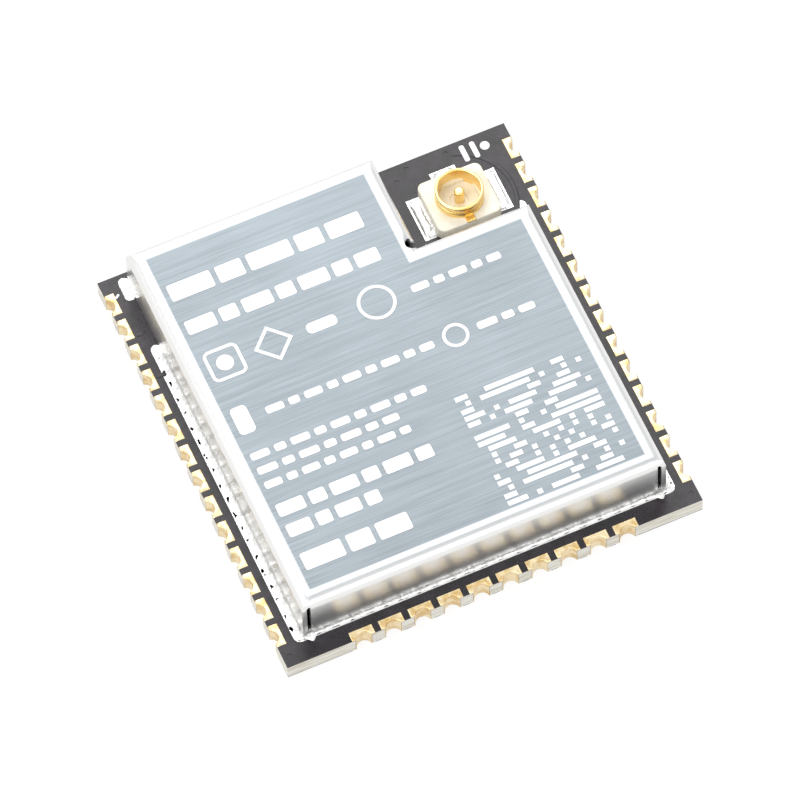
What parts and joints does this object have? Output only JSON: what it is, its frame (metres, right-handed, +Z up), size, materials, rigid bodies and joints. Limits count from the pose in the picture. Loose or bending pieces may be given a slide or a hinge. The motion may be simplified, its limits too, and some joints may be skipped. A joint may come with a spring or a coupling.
{
  "type": "wifi module",
  "caption": "Surface-mount radio module: a small board with plated half holes on three edges, an L-shaped soldered shield can and a miniature coaxial antenna socket.",
  "frame": {"origin": "centre of the board's underside, in the plane that is soldered to the host board", "axes": "+X along the front row of contacts, +Y from the front row towards the antenna socket's end, +Z up through the shield can"},
  "size_m": [0.018, 0.0192, 0.0032],
  "materials": {
    "laminate": "cut glass-epoxy edge, slightly fibrous",
    "solder_mask": "black lacquer, satin gloss",
    "copper": "plated copper",
    "gold_plating": "thin gold over nickel, softly bright",
    "shield_sheet": "fine brushed sheet",
    "tinned_metal": "tinned, softly bright",
    "white_mark": "flat white mark",
    "ivory_moulding": "ivory moulding, slightly rough",
    "socket_plating": "bright gold plating",
    "black_package": "moulded black resin",
    "chip_ceramic": "pale fired ceramic",
    "capacitor_ceramic": "brown fired ceramic",
    "inductor_ceramic": "grey-green fired ceramic"
  },
  "bodies": {
    "root": {"board_laminate": "laminate", "top_solder_mask": "solder_mask", "bottom_solder_mask": "solder_mask", "via_barrels": "copper", "left_edge_contacts": "gold_plating", "right_edge_contacts": "gold_plating", "front_edge_contacts": "gold_plating", "thermal_pad": "gold_plating", "shield_can": "shield_sheet", "shield_land": "tinned_metal", "shield_solder": "tinned_metal", "oval_ground_pad": "tinned_metal", "shield_marks": "white_mark", "socket_housing": "ivory_moulding", "socket_shell": "socket_plating", "socket_pin": "socket_plating", "socket_lands": "tinned_metal", "socket_solder": "tinned_metal", "silkscreen_marks": "white_mark", "component_lands": "tinned_metal", "component_solder": "tinned_metal", "processor_package": "black_package", "processor_contacts": "tinned_metal", "memory_package": "black_package", "memory_leads": "tinned_metal", "crystal_base": "chip_ceramic", "crystal_lid": "shield_sheet", "capacitor_bodies": "capacitor_ceramic", "capacitor_caps": "tinned_metal", "resistor_bodies": "black_package", "resistor_caps": "tinned_metal", "inductor_bodies": "inductor_ceramic", "inductor_caps": "tinned_metal"}
  },
  "joints": []
}
